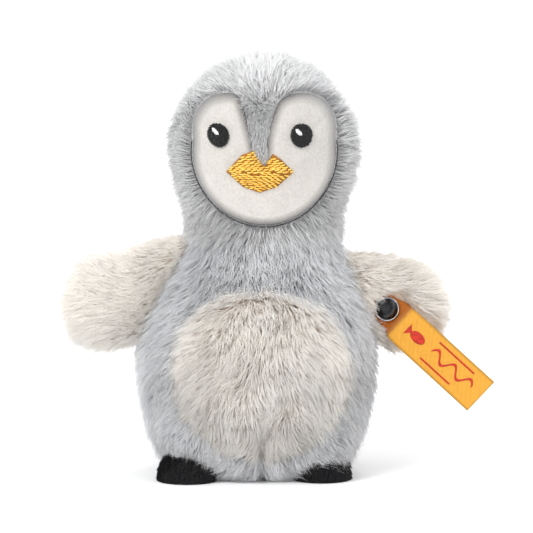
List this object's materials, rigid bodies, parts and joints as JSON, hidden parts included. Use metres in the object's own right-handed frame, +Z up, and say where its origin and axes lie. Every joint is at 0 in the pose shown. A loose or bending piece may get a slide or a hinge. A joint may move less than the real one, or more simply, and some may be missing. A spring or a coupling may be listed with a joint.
{
  "type": "plush penguin",
  "caption": "Small stuffed penguin chick in grey and cream plush with an embroidered face, sewn wings, black feet and a woven label riveted to one wing.",
  "frame": {"origin": "on the floor, under the middle of the body's flat base", "axes": "+Z up; the penguin faces -Y, so +X is the side of its left wing, which has the label"},
  "size_m": [0.1183, 0.064, 0.1152],
  "materials": {
    "grey_plush": "matte",
    "cream_plush": "matte",
    "black_plush": "matte",
    "black_sole_cloth": "matte",
    "base_cloth": "matte",
    "bag_cloth": "matte",
    "polyester_fill": "matte",
    "pellet_plastic": "satin",
    "face_velour": "matte",
    "seam_thread": "satin",
    "gold_thread": "satin",
    "black_thread": "satin",
    "white_thread": "satin",
    "rivet_metal": "polished",
    "washer_metal": "satin",
    "ribbon_weave": "satin"
  },
  "bodies": {
    "torso": {"chest_panel": "grey_plush", "belly_panel": "cream_plush", "left_back_panel": "grey_plush", "right_back_panel": "grey_plush", "base_panel": "base_cloth", "body_stuffing": "polyester_fill", "pellet_bag": "bag_cloth", "pellets": "pellet_plastic", "left_foot_upper": "black_plush", "left_foot_sole": "black_sole_cloth", "left_foot_stuffing": "polyester_fill", "right_foot_upper": "black_plush", "right_foot_sole": "black_sole_cloth", "right_foot_stuffing": "polyester_fill"},
    "head": {"crown_gusset": "grey_plush", "left_head_panel": "grey_plush", "right_head_panel": "grey_plush", "head_stuffing": "polyester_fill", "face_panel": "face_velour", "face_seam": "seam_thread", "beak": "gold_thread", "left_eye": "black_thread", "right_eye": "black_thread", "left_eye_glint": "white_thread", "right_eye_glint": "white_thread"},
    "left_wing": {"left_wing_front": "cream_plush", "left_wing_back": "cream_plush", "left_wing_stuffing": "polyester_fill", "rivet_cap": "rivet_metal", "rivet_washer": "washer_metal"},
    "right_wing": {"right_wing_front": "cream_plush", "right_wing_back": "cream_plush", "right_wing_stuffing": "polyester_fill"},
    "label": {"label": "ribbon_weave"}
  },
  "joints": [
    {"name": "head_nod", "type": "hinge", "parent": "torso", "child": "head", "pos_m": [0, 0, 0.067], "axis": [1, 0, 0], "range_deg": [-10, 10], "stiffness_Nm_per_rad": 0.06},
    {"name": "left_wing_swing", "type": "hinge", "parent": "torso", "child": "left_wing", "pos_m": [0.03019, 0, 0.0485], "axis": [0.3746, 0, -0.9272], "range_deg": [-40, 25], "stiffness_Nm_per_rad": 0.003},
    {"name": "right_wing_swing", "type": "hinge", "parent": "torso", "child": "right_wing", "pos_m": [-0.03019, 0, 0.0485], "axis": [0.3746, 0, 0.9272], "range_deg": [-40, 60], "stiffness_Nm_per_rad": 0.003},
    {"name": "label_pivot", "type": "hinge", "parent": "left_wing", "child": "label", "pos_m": [0.03505, 0, 0.04529], "axis": [0, -1, 0], "range_deg": [-12, 75]}
  ]
}
